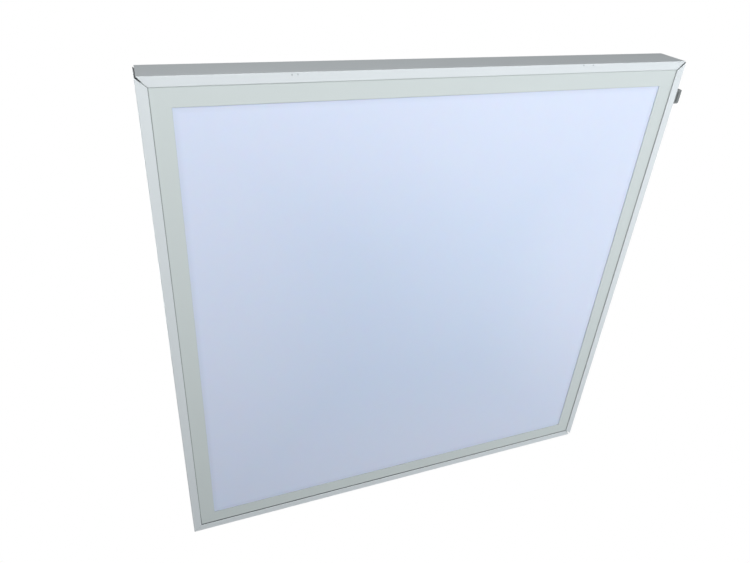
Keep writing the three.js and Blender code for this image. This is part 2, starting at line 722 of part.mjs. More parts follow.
function driverLead() {
  const start = DRIVER.right - DRIVER.wall - 4;
  const end = SOCKET.x0 - GAP;
  const { z, depth } = CONNECTOR;
  const { exitDepth } = LEAD;
  const points = [
    [start, exitDepth, z], [DRIVER.right + 2, exitDepth, z], [DRIVER.right + 9, exitDepth - 0.8, z],
    [(DRIVER.right + end) / 2, 20.6, z], [end - 9, depth + 0.5, z], [end, depth, z],
  ];
  return tube(points, LEAD.radius, LEAD.sides, 10);
}

function dcSocket() {
  const long = SOCKET.x1 - SOCKET.x0;
  const floor = long - SOCKET.mouth;
  const bore = PLUG.barrel + GAP;
  const { tip, root } = STRAIN_RELIEF;
  const profile = [
    [0, 0], [tip, 0], [root, 6], [SOCKET.radius, 8],
    [SOCKET.radius, long], [bore, long], [bore, floor], [0, floor],
  ];
  return turnedAlongX(profile, SOCKET.x0, CONNECTOR.depth, CONNECTOR.z, 20);
}

function dcPlug() {
  const long = PLUG.x1 - PLUG.x0;
  const shoulder = PLUG.shoulder - PLUG.x0;
  const { tip, root } = STRAIN_RELIEF;
  const profile = [
    [0, 0], [PLUG.barrel, 0], [PLUG.barrel, shoulder], [PLUG.body, shoulder],
    [PLUG.body, long - 8], [root, long - 6], [tip, long], [0, long],
  ];
  return turnedAlongX(profile, PLUG.x0, CONNECTOR.depth, CONNECTOR.z, 20);
}

// From the plug up to the grommet, where it dives through the back plate.
function panelLead() {
  const { x, z } = GROMMET;
  const from = CONNECTOR.z;
  const points = [
    [PLUG.x1 + GAP, CONNECTOR.depth, from], [PLUG.x1 + 9, CONNECTOR.depth - 0.6, from + 0.6],
    [x - 18, 15.8, from + 4], [x - 7, 15.0, from + 14], [x - 1, 14.9, from + 28],
    [x, 14.9, z - 36], [x, 15.9, z - 24], [x, 18.6, z - 14.5], [x, 19.9, z - 6.4], [x, 18.0, z - 1.9],
    [x, 13.5, z], [x, BACK.from - 0.8, z],
  ];
  return tube(points, LEAD.radius, LEAD.sides, 36);
}

// ---------------------------------------------------------------- assembly

const light = new THREE.Group();

function add(name, geometry, finish) {
  const mesh = new THREE.Mesh(geometry, finish);
  mesh.name = name;
  light.add(mesh);
}

function buildFrame() {
  const { topLeft, topRight, bottomRight, bottomLeft } = FRAME_MITRE;
  const right = cut(frameSide('right', topRight, bottomRight), clampSlot(), ...fixingHoles('right'));
  const bottom = cut(frameSide('bottom', bottomRight, bottomLeft), ...fixingHoles('bottom'));
  const left = cut(frameSide('left', bottomLeft, topLeft), ...fixingHoles('left'));
  const closing = cut(frameSide('top', topLeft, topRight), ...stakeMarks());
  add('frame_left', left, whitePowderCoat());
  add('frame_right', right, whitePowderCoat());
  add('frame_bottom', bottom, whitePowderCoat());
  add('frame_closing_side', closing, whitePowderCoat());
  for (const [corner, quarterTurns] of Object.entries(CORNER_TURNS)) {
    add(`corner_key_${corner}`, turned(frameCornerKey(), quarterTurns), zincSteel());
    add(`grub_screw_${corner}_a`, turned(grubScrew(), quarterTurns), zincSteel());
    add(`grub_screw_${corner}_b`, turned(onOtherArm(grubScrew()), quarterTurns), zincSteel());
  }
  for (const [side, { middle }] of Object.entries(SPRINGS)) {
    add(`retaining_spring_${side}`, retainingSpring(middle), springSteel());
  }
  add('side_clamp_grip', clampGrip(), greyPlastic());
  add('side_clamp_shoe', clampShoe(), greyPlastic());
}

function buildPanel() {
  for (const side of Object.keys(TURNS)) {
    add(`bezel_${side}`, bezelSide(side), bezelPaint());
    BACK_SCREW_PLACES.forEach((place, i) => {
      add(`back_screw_${side}_${i + 1}`, backScrew(place, side), zincSteel());
    });
  }
  for (const [corner, quarterTurns] of Object.entries(CORNER_TURNS)) {
    add(`bezel_key_${corner}`, turned(cornerKey(BEZEL_KEY, PANEL_HALF), quarterTurns), zincSteel());
  }
  add('diffuser', squareLayer(DIFFUSER), opalPlastic());
  add('light_guide_plate', squareLayer(LIGHT_GUIDE), clearAcrylic());
  add('reflector_sheet', squareLayer(REFLECTOR), whiteFilm());
  add('foam_pad', squareLayer(FOAM), foamPlastic());
  add('back_plate', backPlate(), whitePowderCoat());
  add('led_strip_left', ledStrip('left'), boardWhite());
  add('led_strip_right', ledStrip('right'), boardWhite());
  add('strip_link_wire', stripLinkWire(), blackPlastic());
  add('lead_grommet', grommet(), blackPlastic());
}

function buildDriver() {
  add('driver_pad', driverPad(), foamPlastic());
  add('driver_case', driverCase(), whitePlastic());
  add('driver_cover', driverCover(), whitePlastic());
  add('driver_board', driverBoard(), boardGreen());
  add('driver_transformer', transformer(), blackPlastic());
  add('capacitor_input', capacitor(CAPACITORS.input), blackPlastic());
  add('capacitor_output', capacitor(CAPACITORS.output), blackPlastic());
  add('terminal_block', terminalBlock(), whitePlastic());
  add('terminal_cover', terminalCover(), whitePlastic());
  add('terminal_cover_pin', hingePin(), zincSteel());
  add('driver_lead', driverLead(), blackPlastic());
  add('dc_socket', dcSocket(), blackPlastic());
  add('dc_plug', dcPlug(), blackPlastic());
  add('panel_lead', panelLead(), blackPlastic());
}

buildFrame();
buildPanel();
buildDriver();

export default light;
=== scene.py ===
"""Looks of a square LED panel light in a surface-mount box frame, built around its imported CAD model.

Metres, in the row frame: +X to the right seen from the front, +Y back into the wall, +Z up.
The glowing face looks along -Y and the mounting plane is y = 0.
"""

import json
import math

import bmesh
import bpy
from mathutils import Matrix, Vector


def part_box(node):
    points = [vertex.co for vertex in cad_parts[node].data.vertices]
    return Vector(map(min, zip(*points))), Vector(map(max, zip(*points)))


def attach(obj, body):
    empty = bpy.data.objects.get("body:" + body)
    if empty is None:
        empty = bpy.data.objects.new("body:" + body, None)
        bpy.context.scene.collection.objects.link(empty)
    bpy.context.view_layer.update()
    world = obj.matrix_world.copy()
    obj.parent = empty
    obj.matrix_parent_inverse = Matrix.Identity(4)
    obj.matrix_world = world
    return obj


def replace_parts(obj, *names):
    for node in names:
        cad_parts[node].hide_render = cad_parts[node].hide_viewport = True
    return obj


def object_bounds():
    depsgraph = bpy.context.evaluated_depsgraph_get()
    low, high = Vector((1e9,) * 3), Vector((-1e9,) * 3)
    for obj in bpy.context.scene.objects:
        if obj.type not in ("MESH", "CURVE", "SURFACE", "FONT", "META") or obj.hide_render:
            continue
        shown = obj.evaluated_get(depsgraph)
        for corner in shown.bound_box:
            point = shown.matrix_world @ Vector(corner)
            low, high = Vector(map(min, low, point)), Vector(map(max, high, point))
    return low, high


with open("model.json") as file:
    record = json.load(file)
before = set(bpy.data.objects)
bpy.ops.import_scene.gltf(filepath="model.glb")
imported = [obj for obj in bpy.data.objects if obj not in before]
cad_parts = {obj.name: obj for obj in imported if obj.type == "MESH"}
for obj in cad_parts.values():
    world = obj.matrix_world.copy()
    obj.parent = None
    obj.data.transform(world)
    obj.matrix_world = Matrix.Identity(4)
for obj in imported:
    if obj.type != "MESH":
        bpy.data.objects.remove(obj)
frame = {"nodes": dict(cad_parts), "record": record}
cad_low, cad_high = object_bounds()
nodes = frame["nodes"]

MM = 0.001

# Landmarks of the CAD model: reaches from the middle of the square, and depths along Y.
OUTER_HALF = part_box("frame_right")[1].x
LIP_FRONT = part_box("frame_left")[0].y
LIP_WIDTH = 9.7 * MM
LIP_REACH = OUTER_HALF - LIP_WIDTH
OPENING_HALF = -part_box("bezel_left")[1].x

# A line of painted shade lies on the bezel along the lip, where the lip shades it, from just short of
# its edge to a little way under it. It is darkest on the left and at the bottom, so its square is shifted
# a little.
LIP_SHADE_SHIFT = (0.4 * MM, 0.0, 0.5 * MM)
LIP_SHADE_START = LIP_REACH - 0.7 * MM
LIP_SHADE_END = LIP_REACH + 1.9 * MM
LIP_SHADE_FADE = 0.5 * MM

# ---------------------------------------------------------------- camera


def make_camera():
    """Stands to the left of the light and above its top edge, looking down at its face."""
    position = Vector((-0.3052, -0.6033, 0.4481))
    forward = Vector((0.327, 0.794, -0.513)).normalized()
    right = Vector((0.936, -0.346, 0.062))
    right = (right - right.dot(forward) * forward).normalized()
    up = right.cross(forward)
    data = bpy.data.cameras.new("camera")
    data.sensor_width = 36.0
    data.lens = 29.77
    data.shift_x = 0.0036
    data.shift_y = -0.0239
    data.clip_start = 0.01
    data.clip_end = 50.0
    camera = bpy.data.objects.new("camera", data)
    bpy.context.scene.collection.objects.link(camera)
    axes = Matrix((right, up, -forward)).transposed().to_4x4()
    camera.matrix_world = Matrix.Translation(position) @ axes
    bpy.context.scene.camera = camera


# ---------------------------------------------------------------- light and floor


DAYLIGHT = (0.93, 0.975, 1.0)
WARM = (0.955, 0.975, 0.972)
AMBIENT_STRENGTH = 0.168

# Soft boxes: colour, place, the point they face, their two sides in metres, and power in watts.
# Most of the light stands to the front right, and some close above the top edge.
SOFT_BOXES = {
    "right_low": (DAYLIGHT, (1.1, -1.3, -0.6), (0.0, 0.0, 0.0), (0.9, 0.9), 5.6),
    "right_middle": (DAYLIGHT, (1.1, -1.3, 0.4), (0.0, 0.0, 0.0), (0.9, 0.9), 3.2),
    "right_high": (DAYLIGHT, (1.1, -1.3, 1.3), (0.0, 0.0, 0.0), (0.9, 0.9), 5.1),
    "right_side": (DAYLIGHT, (1.5, -0.7, 0.2), (0.0, 0.0, 0.0), (0.8, 1.2), 5.4),
    "top_centre": (WARM, (0.0, -0.7, 0.9), (0.0, 0.0, 0.2), (0.8, 0.5), 2.9),
    "top_left": (WARM, (-0.55, -0.75, 0.75), (-0.15, 0.0, 0.15), (0.5, 0.5), 3.0),
    "front": (DAYLIGHT, (0.2, -1.6, 0.3), (0.0, 0.0, 0.0), (2.6, 2.0), 5.5),
    "behind_left": (DAYLIGHT, (-1.1, 1.5, -0.6), (0.0, 0.0, 0.0), (1.4, 1.4), 22.0),
    "behind_right": (DAYLIGHT, (1.3, 1.4, -0.7), (0.0, 0.0, 0.0), (1.4, 1.4), 10.0),
}


def add_soft_box(name, colour, place, target, sides, power):
    data = bpy.data.lights.new(name, "AREA")
    data.shape = "RECTANGLE"
    data.size, data.size_y = sides
    data.energy = power
    data.color = colour
    light = bpy.data.objects.new(name, data)
    bpy.context.scene.collection.objects.link(light)
    light.location = place
    light.rotation_mode = "QUATERNION"
    light.rotation_quaternion = (Vector(target) - Vector(place)).to_track_quat("-Z", "Y")
    light.visible_camera = False


def make_world():
    """Even light from all round, and a white backdrop that only the camera sees."""
    world = bpy.data.worlds.new("studio")
    bpy.context.scene.world = world
    world.use_nodes = True
    tree = world.node_tree
    tree.nodes.clear()
    output = tree.nodes.new("ShaderNodeOutputWorld")
    mix = tree.nodes.new("ShaderNodeMixShader")
    rays = tree.nodes.new("ShaderNodeLightPath")
    ambient = tree.nodes.new("ShaderNodeBackground")
    ambient.inputs["Color"].default_value = (*DAYLIGHT, 1.0)
    ambient.inputs["Strength"].default_value = AMBIENT_STRENGTH
    backdrop = tree.nodes.new("ShaderNodeBackground")
    backdrop.inputs["Color"].default_value = (1.0, 1.0, 1.0, 1.0)
    tree.links.new(rays.outputs["Is Camera Ray"], mix.inputs["Fac"])
    tree.links.new(ambient.outputs[0], mix.inputs[1])
    tree.links.new(backdrop.outputs[0], mix.inputs[2])
    tree.links.new(mix.outputs[0], output.inputs["Surface"])


def make_studio():
    """A white room with soft light, strongest from the front right."""
    view = bpy.context.scene.view_settings
    view.view_transform = "Standard"
    view.look = "None"
    make_world()
    for name, settings in SOFT_BOXES.items():
        add_soft_box(name, *settings)


def make_floor():
    """A plain pale floor well below the light, as under a fitting that hangs on a wall."""
    size = 12.0
    height = cad_low.z - 1.2
    mesh = bpy.data.meshes.new("floor")
    half = size / 2
    corners = [(-half, -half, height), (half, -half, height), (half, half, height), (-half, half, height)]
    mesh.from_pydata(corners, [], [(0, 1, 2, 3)])
    floor = bpy.data.objects.new("floor", mesh)
    bpy.context.scene.collection.objects.link(floor)
    material = bpy.data.materials.new("floor")
    material.use_nodes = True
    tree = material.node_tree
    tree.nodes.clear()
    output = tree.nodes.new("ShaderNodeOutputMaterial")
    glow = tree.nodes.new("ShaderNodeEmission")
    glow.inputs["Color"].default_value = (1.0, 1.0, 1.0, 1.0)
    glow.inputs["Strength"].default_value = 1.0
    tree.links.new(glow.outputs[0], output.inputs["Surface"])
    mesh.materials.append(material)
    for kind in ("visible_diffuse", "visible_glossy", "visible_transmission", "visible_shadow"):
        setattr(floor, kind, False)


# ---------------------------------------------------------------- materials


class Look:
    """A Principled material with a few procedural layers read in the row frame's metres."""

    def __init__(self, name, roughness=0.5, metallic=0.0, **sockets):
        self.material = bpy.data.materials.new(name)
        self.material.use_nodes = True
        self.tree = self.material.node_tree
        self.shader = self.tree.nodes["Principled BSDF"]
        self.shader.inputs["Roughness"].default_value = roughness
        self.shader.inputs["Metallic"].default_value = metallic
        for socket, value in sockets.items():
            self.shader.inputs[socket.replace("_", " ")].default_value = value
        self.place = self.node("ShaderNodeTexCoord").outputs["Object"]
        self.normal = None

    def node(self, kind, **properties):
        made = self.tree.nodes.new(kind)
        for key, value in properties.items():
            setattr(made, key, value)
        return made

    def link(self, source, target):
        self.tree.links.new(source, target)

    def stretched(self, scale):
        """The row frame's coordinates times a scale for each axis."""
        mapping = self.node("ShaderNodeMapping")
        mapping.inputs["Scale"].default_value = scale
        self.link(self.place, mapping.inputs["Vector"])
        return mapping.outputs["Vector"]

    def noise(self, scale, detail=2.0, rough=0.5, vector=None):
        texture = self.node("ShaderNodeTexNoise")
        texture.inputs["Scale"].default_value = scale
        texture.inputs["Detail"].default_value = detail
        texture.inputs["Roughness"].default_value = rough
        self.link(vector or self.place, texture.inputs["Vector"])
        return texture.outputs["Fac"]

    def ramp(self, value, low, high, start=0.3, end=0.7):
        """Maps a value between start and end to the range from low to high."""
        fit = self.node("ShaderNodeMapRange")
        fit.inputs["From Min"].default_value = start
        fit.inputs["From Max"].default_value = end
        fit.inputs["To Min"].default_value = low
        fit.inputs["To Max"].default_value = high
        self.link(value, fit.inputs["Value"])
        return fit.outputs["Result"]

    def mix(self, factor, first, second):
        """Mixes two colours, each a tuple or a socket, by a factor socket."""
        blend = self.node("ShaderNodeMix", data_type="RGBA")
        self.link(factor, blend.inputs["Factor"])
        for socket, colour in ((blend.inputs[6], first), (blend.inputs[7], second)):
            if isinstance(colour, tuple):
                socket.default_value = (*colour, 1.0)
            else:
                self.link(colour, socket)
        return blend.outputs[2]

    def math(self, operation, first, second=None):
        made = self.node("ShaderNodeMath", operation=operation)
        self.link(first, made.inputs[0])
        if second is not None:
            self.link(second, made.inputs[1])
        return made.outputs["Value"]

    def step(self, value, start, end):
        """A smooth step: 0 before start, 1 after end, and the other way round if end is smaller."""
        fit = self.node("ShaderNodeMapRange", interpolation_type="SMOOTHSTEP")
        rising = start < end
        fit.inputs["From Min"].default_value = min(start, end)
        fit.inputs["From Max"].default_value = max(start, end)
        fit.inputs["To Min"].default_value = 0.0 if rising else 1.0
        fit.inputs["To Max"].default_value = 1.0 if rising else 0.0
        self.link(value, fit.inputs["Value"])
        return fit.outputs["Result"]

    def both(self, first, second):
        return self.math("MULTIPLY", first, second)

    def axes(self, vector=None):
        split = self.node("ShaderNodeSeparateXYZ")
        self.link(vector or self.place, split.inputs["Vector"])
        return split.outputs

    def square_reach(self, shift=(0.0, 0.0, 0.0)):
        """How far out a point is in the square of the light, whichever side it is nearest."""
        moved = self.node("ShaderNodeVectorMath", operation="SUBTRACT")
        self.link(self.place, moved.inputs[0])
        moved.inputs[1].default_value = shift
        x, _, z = self.axes(moved.outputs["Vector"])
        return self.math("MAXIMUM", self.math("ABSOLUTE", x), self.math("ABSOLUTE", z))

    def depth(self):
        return self.axes()["Y"]

    def facing(self):
        """The parts of the surface's direction along X, Y and Z."""
        return self.axes(self.node("ShaderNodeTexCoord").outputs["Normal"])

    def colour(self, socket):
        self.link(socket, self.shader.inputs["Base Color"])

    def roughness(self, socket):
        self.link(socket, self.shader.inputs["Roughness"])

    def bump(self, height, distance, strength=1.0):
        """Adds a height map, in metres, on top of the bumps that are already there."""
        made = self.node("ShaderNodeBump")
        made.inputs["Distance"].default_value = distance
        made.inputs["Strength"].default_value = strength
        self.link(height, made.inputs["Height"])
        if self.normal is not None:
            self.link(self.normal, made.inputs["Normal"])
        self.normal = made.outputs["Normal"]
        self.link(self.normal, self.shader.inputs["Normal"])


def shade(colour, factor):
    return tuple(min(1.0, channel * factor) for channel in colour)


def sprayed_coat(look, colour, roughness, peel):
    """Gives a look baked paint: faint orange peel, faint unevenness, a few duller smudges."""
    drift = look.noise(3.5, 3.0)
    paint = look.mix(drift, shade(colour, 0.985), shade(colour, 1.01))
    smudge = look.noise(26.0, 5.0, 0.6)
    look.roughness(look.ramp(smudge, roughness - 0.05, roughness + 0.08))
    look.bump(look.noise(700.0, 2.0), peel)
    look.bump(look.noise(4200.0, 1.0), peel * 0.12)
    return paint


def powder_coat(name, colour, roughness=0.42, peel=0.012 * MM):
    look = Look(name, roughness)
    look.colour(sprayed_coat(look, colour, roughness, peel))
    return look.material


def frame_paint(colour):
    """Coated extrusion, cut to length afterwards: bare metal on the cut ends of the mitres, with painted
    shade on them deep in the gaps behind the lip; painted shade on the floors of the stake marks; and
    painted shade on the lip's inner edge and in the gap behind it, darkest where that edge faces up."""
    look = Look("frame_paint", 0.40)
    paint = sprayed_coat(look, colour, 0.40, 0.012 * MM)
    # Painted shade on the lip's inner edge and in the gap between the lip's back and the panel.
    inside = look.step(look.square_reach(), OUTER_HALF - 1.0 * MM, OUTER_HALF - 1.3 * MM)
    behind_edge = look.step(look.depth(), LIP_FRONT + 0.3 * MM, LIP_FRONT + 0.6 * MM)
    ahead_of_panel = look.step(look.depth(), LIP_FRONT + 9.0 * MM, LIP_FRONT + 7.0 * MM)
    lip_shade = look.both(look.both(inside, behind_edge), ahead_of_panel)
    normal_x, normal_y, normal_z = look.facing()
    # Deeper painted shade where the lip's inner edge faces up, darkening the line of the gap at the
    # bottom.
    lip_edge = look.step(look.depth(), LIP_FRONT + 2.0 * MM, LIP_FRONT + 1.6 * MM)
    shaded_edge = look.both(look.step(normal_z, 0.3, 0.8), lip_edge)
    paint = look.mix(lip_shade, paint, look.mix(shaded_edge, shade(colour, 0.8), shade(colour, 0.42)))
    # Painted shade on the floors of the stake dimples, darker than the lip around them.
    sunk = look.step(look.depth(), LIP_FRONT + 0.2 * MM, LIP_FRONT + 0.3 * MM)
    shallow = look.step(look.depth(), LIP_FRONT + 0.5 * MM, LIP_FRONT + 0.4 * MM)
    stake_shade = look.both(look.both(sunk, shallow), look.step(normal_y, -0.8, -0.95))
    paint = look.mix(stake_shade, paint, shade(colour, 0.76))
    # Bare metal on the mitres' cut ends, turned into painted shade behind the lip, deep in the mitre
    # gaps.
    slant = look.math("ABSOLUTE", look.both(normal_x, normal_z))
    streaks = look.noise(900.0, 2.0, vector=look.stretched((1.0, 0.05, 1.0)))
    sawn_and_shade = look.mix(streaks, (0.52, 0.53, 0.54), (0.62, 0.63, 0.64))
    behind_lip = look.step(look.depth(), LIP_FRONT + 1.1 * MM, LIP_FRONT + 2.5 * MM)
    sawn_and_shade = look.mix(behind_lip, (0.17, 0.18, 0.19), sawn_and_shade)
    look.colour(look.mix(look.step(slant, 0.42, 0.47), paint, sawn_and_shade))
    return look.material


def bezel_paint(colour):
    """Matt paint with painted shade on the rounded inner edges that face up or to the right, a painted
    highlight on the inner edge that faces left, and a line of painted shade where the frame's lip
    shades it, darkest at the bottom left."""
    look = Look("bezel_paint", 0.5)
    paint = sprayed_coat(look, colour, 0.5, 0.01 * MM)
    normal_x, _, normal_z = look.facing()
    # Painted highlight: the bezel's inner edge that faces left, away from the lamps, is made lighter.
    lit_edge = look.step(normal_x, -0.2, -0.7)
    paint = look.mix(lit_edge, paint, shade(colour, 1.3))
    # Painted shade on the rounded inner edges that face up or to the right, towards the lamps, dulling
    # their lit rim.
    shaded_edge = look.step(look.math("MAXIMUM", normal_x, normal_z), 0.25, 0.7)
    paint = look.mix(shaded_edge, paint, shade(colour, 0.74))
    # Painted shade: a dark line on the bezel along the frame's lip, where the lip shades it.
    reach = look.square_reach(LIP_SHADE_SHIFT)
    line = look.both(
        look.step(reach, LIP_SHADE_START, LIP_SHADE_START + LIP_SHADE_FADE),
        look.step(reach, LIP_SHADE_END, LIP_SHADE_END - LIP_SHADE_FADE),
    )
    x, _, z = look.axes()
    # The painted shade of the line is darker towards the bottom left.
    low_left_shade = look.both(look.step(x, 0.36, -0.1), look.step(z, -0.27, -0.285))
    lip_shade = look.mix(low_left_shade, shade(colour, 0.45), (0.07, 0.085, 0.092))
    look.colour(look.mix(line, paint, lip_shade))
    return look.material


SHADED_MARGIN = 7.0 * MM


def opal_plastic(middle, outer):
    """A milky diffuser sheet with a fine matt surface, a little cooler in its middle than near its
    sides. Its margin along the bezel is darker: painted shade from the bezel's edge."""
    look = Look("opal_plastic", 0.36, Subsurface_Weight=0.12, Subsurface_Scale=0.002)
    drift = look.noise(2.0, 2.0)
    reach = look.square_reach()
    warmth = look.step(reach, 0.25 * OPENING_HALF, OPENING_HALF)
    sheet = look.mix(warmth, look.mix(drift, shade(middle, 0.99), shade(middle, 1.005)), outer)
    # Painted shade along the margin, where the bezel's edge shades the sheet.
    margin = look.step(reach, OPENING_HALF - SHADED_MARGIN, OPENING_HALF)
    look.colour(look.mix(margin, sheet, shade(outer, 0.93)))
    look.roughness(look.ramp(look.noise(40.0, 4.0), 0.33, 0.41))
    look.bump(look.noise(2600.0, 2.0), 0.01 * MM)
    return look.material


def moulded_plastic(name, colour, roughness=0.5, grain=0.04 * MM):
    """Spark-eroded mould texture: a fine matt grain, with slight variation of gloss."""
    look = Look(name, roughness)
    drift = look.noise(60.0, 3.0)
    look.colour(look.mix(drift, shade(colour, 0.93), shade(colour, 1.07)))
    look.roughness(look.ramp(look.noise(180.0, 3.0), roughness - 0.06, roughness + 0.08))
    look.bump(look.noise(2400.0, 3.0, 0.6), grain)
    return look.material


def zinc_plate(name, colour=(0.60, 0.61, 0.62)):
    """Zinc-plated steel: cloudy bright and dull patches over fine rolling lines."""
    look = Look(name, 0.34, 1.0)
    cloud = look.noise(220.0, 4.0, 0.6)
    look.colour(look.mix(cloud, shade(colour, 0.82), shade(colour, 1.12)))
    look.roughness(look.ramp(cloud, 0.26, 0.46))
    look.bump(look.noise(600.0, 2.0, vector=look.stretched((6.0, 1.0, 1.0))), 0.01 * MM)
    return look.material


def clear_acrylic(name):
    """Cast acrylic with the dot pattern that throws light forward."""
    look = Look(name, 0.06, IOR=1.49, Transmission_Weight=0.85)
    dots = look.node("ShaderNodeTexVoronoi", feature="F1")
    dots.inputs["Scale"].default_value = 420.0
    dots.inputs["Randomness"].default_value = 0.0
    look.link(look.place, dots.inputs["Vector"])
    spot = look.ramp(dots.outputs["Distance"], 1.0, 0.0, 0.25, 0.32)
    look.colour(look.mix(spot, (0.86, 0.93, 0.95), (0.97, 0.98, 0.98)))
    return look.material


def closed_foam(name):
    look = Look(name, 0.95)
    cells = look.node("ShaderNodeTexVoronoi", feature="F1")
    cells.inputs["Scale"].default_value = 900.0
    look.link(look.place, cells.inputs["Vector"])
    look.colour(look.mix(cells.outputs["Distance"], (0.70, 0.70, 0.68), (0.86, 0.86, 0.84)))
    look.bump(cells.outputs["Distance"], 0.2 * MM)
    return look.material


def circuit_board(name, mask, trace):
    """Solder mask over copper runs, with fine fibre weave showing through."""
    look = Look(name, 0.38)
    runs = look.node("ShaderNodeTexBrick")
    runs.inputs["Scale"].default_value = 160.0
    runs.inputs["Mortar Size"].default_value = 0.03
    runs.inputs["Color1"].default_value = (*mask, 1.0)
    runs.inputs["Color2"].default_value = (*shade(mask, 0.85), 1.0)
    runs.inputs["Mortar"].default_value = (*trace, 1.0)
    turn = look.node("ShaderNodeMapping")
    turn.inputs["Rotation"].default_value = (math.pi / 2, 0.0, 0.0)
    look.link(look.place, turn.inputs["Vector"])
    look.link(turn.outputs["Vector"], runs.inputs["Vector"])
    look.colour(runs.outputs["Color"])
    look.bump(look.noise(1500.0, 1.0), 0.02 * MM)
    return look.material


def rubbery(name, colour, roughness=0.55):
    """Extruded cable jacket and soft moulded ends."""
    look = Look(name, roughness)
    drift = look.noise(90.0, 4.0)
    look.colour(look.mix(drift, shade(colour, 0.8), shade(colour, 1.3)))
    look.roughness(look.ramp(look.noise(300.0, 3.0), roughness - 0.08, roughness + 0.1))
    look.bump(look.noise(3000.0, 2.0), 0.02 * MM)
    return look.material


def make_materials():
    black = (0.018, 0.018, 0.020)
    return {
        "frame_paint": frame_paint((0.74, 0.767, 0.783)),
        "bezel_paint": bezel_paint((0.645, 0.687, 0.678)),
        "back_paint": powder_coat("back_paint", (0.78, 0.79, 0.78), 0.5, 0.016 * MM),
        "opal_plastic": opal_plastic((0.663, 0.744, 0.926), (0.722, 0.775, 0.946)),
        "clear_acrylic": clear_acrylic("clear_acrylic"),
        "white_film": powder_coat("white_film", (0.9, 0.9, 0.89), 0.6, 0.005 * MM),
        "foam": closed_foam("foam"),
        "led_board": circuit_board("led_board", (0.86, 0.86, 0.84), (0.62, 0.50, 0.26)),
        "grey_plastic": moulded_plastic("grey_plastic", (0.18, 0.19, 0.19), 0.45),
        "white_plastic": moulded_plastic("white_plastic", (0.80, 0.80, 0.78), 0.48),
        "black_plastic": rubbery("black_plastic", black),
        "green_board": circuit_board("green_board", (0.03, 0.20, 0.10), (0.10, 0.36, 0.16)),
        "zinc_steel": zinc_plate("zinc_steel"),
        "spring_steel": zinc_plate("spring_steel", (0.42, 0.44, 0.46)),
    }


# ---------------------------------------------------------------- finish of the CAD pieces

# Width of the broken edge of each slot's pieces.
EDGE_BREAK = {
    "frame_paint": 0.16 * MM,
    "back_paint": 0.2 * MM,
    "grey_plastic": 0.45 * MM,
    "white_plastic": 0.35 * MM,
    "zinc_steel": 0.12 * MM,
    "black_plastic": 0.25 * MM,
}


def soften_edges(piece, width):
    """Joins the mesh's facets and rounds its sharp edges, so that they catch light."""
    weld = piece.modifiers.new("weld", "WELD")
    weld.merge_threshold = 0.001 * MM
    flat = piece.modifiers.new("flat", "DECIMATE")
    flat.decimate_type = "DISSOLVE"
    flat.angle_limit = math.radians(0.5)
    bevel = piece.modifiers.new("bevel", "BEVEL")
    bevel.width = width
    bevel.segments = 2
    bevel.limit_method = "ANGLE"
    bevel.angle_limit = math.radians(35)
    bevel.harden_normals = True


def dress_cad_nodes(looks):
    slots = {part["node"]: part["material_slot"] for part in frame["record"]["subparts"]}
    for name, piece in nodes.items():
        slot = slots[name]
        for holder in piece.material_slots:
            holder.material = looks[slot]
        if slot in EDGE_BREAK:
            soften_edges(piece, EDGE_BREAK[slot])


# ---------------------------------------------------------------- low-voltage leads and connector

LEAD_DIAMETER = 3.2 * MM
LEAD_SIDES = 24
ROUTE_STEPS = 8


def smooth_route(points):
    """A curve through all the points, with even steps between each pair of them."""
    padded = [2 * points[0] - points[1], *points, 2 * points[-1] - points[-2]]
    line = []
    for before, start, end, after in zip(padded, padded[1:], padded[2:], padded[3:]):
        for step in range(ROUTE_STEPS):
            t = step / ROUTE_STEPS
            drift = (end - before) * t
            curve = (2 * before - 5 * start + 4 * end - after) * t**2
            twist = (3 * start - before - 3 * end + after) * t**3
            line.append(start + (drift + curve + twist) / 2)
    return [*line, points[-1]]


def joined_rings(name, rings, material):
    """A closed mesh through a row of rings of points, with a flat face on each end."""
    mesh = bmesh.new()
    made = [[mesh.verts.new(point) for point in ring] for ring in rings]
    sides = len(rings[0])
    for ring, following in zip(made, made[1:]):
        for i in range(sides):
            j = (i + 1) % sides
            mesh.faces.new((ring[i], ring[j], following[j], following[i]))
    mesh.faces.new(reversed(made[0]))
    mesh.faces.new(made[-1])
    bmesh.ops.recalc_face_normals(mesh, faces=mesh.faces)
    data = bpy.data.meshes.new(name)
    mesh.to_mesh(data)
    mesh.free()
    data.materials.append(material)
    data.shade_smooth()
    data.set_sharp_from_angle(angle=math.radians(40))
    piece = bpy.data.objects.new(name, data)
    bpy.context.scene.collection.objects.link(piece)
    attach(piece, "panel")
    return piece


def tube(name, line, material):
    """A round cable jacket along a line, whose rings turn with it and don't twist."""
    side = Vector((0.0, 0.0, 1.0)).cross(line[1] - line[0]).normalized()
    rings = []
    for i, point in enumerate(line):
        along = (line[min(i + 1, len(line) - 1)] - line[max(i - 1, 0)]).normalized()
        side = (side - side.dot(along) * along).normalized()
        up = along.cross(side)
        turns = [2 * math.pi * k / LEAD_SIDES for k in range(LEAD_SIDES)]
        radius = LEAD_DIAMETER / 2
        rings.append([point + (side * math.cos(t) + up * math.sin(t)) * radius for t in turns])
    return joined_rings(name, rings, material)


FLUTES = 14
SIDES_PER_FLUTE = 6


def turned_moulding(name, origin, profile, material):
    """A moulding turned round an axis along X. Each step of its profile is a distance along the
    axis, a radius, and how deep the finger grip's flutes are there, in millimetres."""
    rings = []
    count = FLUTES * SIDES_PER_FLUTE
    for along, radius, flute in profile:
        ring = []
        for k in range(count):
            turn = 2 * math.pi * k / count
            reach = radius - flute * (0.5 + 0.5 * math.cos(FLUTES * turn))
            offset = Vector((along, reach * math.cos(turn), reach * math.sin(turn)))
            ring.append(origin + offset * MM)
        rings.append(ring)
    return joined_rings(name, rings, material)


